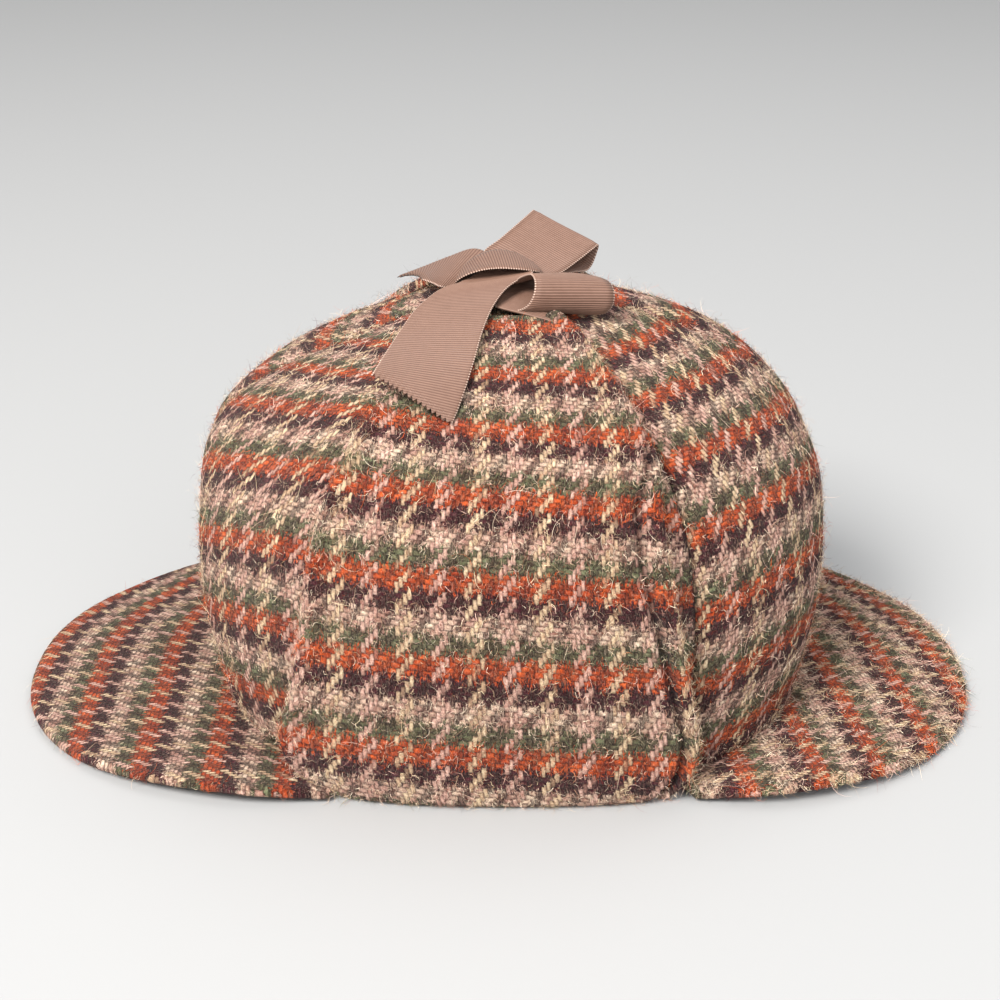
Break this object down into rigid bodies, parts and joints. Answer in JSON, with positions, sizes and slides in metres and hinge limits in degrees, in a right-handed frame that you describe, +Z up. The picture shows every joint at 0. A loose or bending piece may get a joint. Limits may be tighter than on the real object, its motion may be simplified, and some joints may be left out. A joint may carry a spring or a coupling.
{
  "type": "deerstalker hat",
  "caption": "Soft check-tweed hat with a peak at each end and ear flaps folded up its sides, held over the crown by a tied ribbon bow.",
  "frame": {"origin": "on the table under the middle of the whole hat", "axes": "+X from the front peak to the back peak, +Y away from the near ear flap, +Z up"},
  "size_m": [0.335, 0.1762, 0.1643],
  "materials": {
    "crown_tweed": "hairy wool tweed in a houndstooth check of cream, green, orange and plum",
    "peak_tweed": "the same tweed over a flat stiffened pad",
    "flap_tweed": "the same tweed, doubled",
    "grosgrain": "ribbed ribbon, dusty rose beige, soft sheen"
  },
  "bodies": {
    "root": {"crown_gore_1": "crown_tweed", "crown_gore_2": "crown_tweed", "crown_gore_3": "crown_tweed", "crown_gore_4": "crown_tweed", "crown_gore_5": "crown_tweed", "crown_gore_6": "crown_tweed", "front_peak": "peak_tweed", "back_peak": "peak_tweed", "near_ear_flap": "flap_tweed", "far_ear_flap": "flap_tweed", "near_tie": "grosgrain", "far_tie": "grosgrain", "bow_knot": "grosgrain", "bow_tail_near": "grosgrain", "bow_loop_side": "grosgrain", "bow_loop_upper": "grosgrain", "bow_tail_far": "grosgrain"}
  },
  "joints": []
}
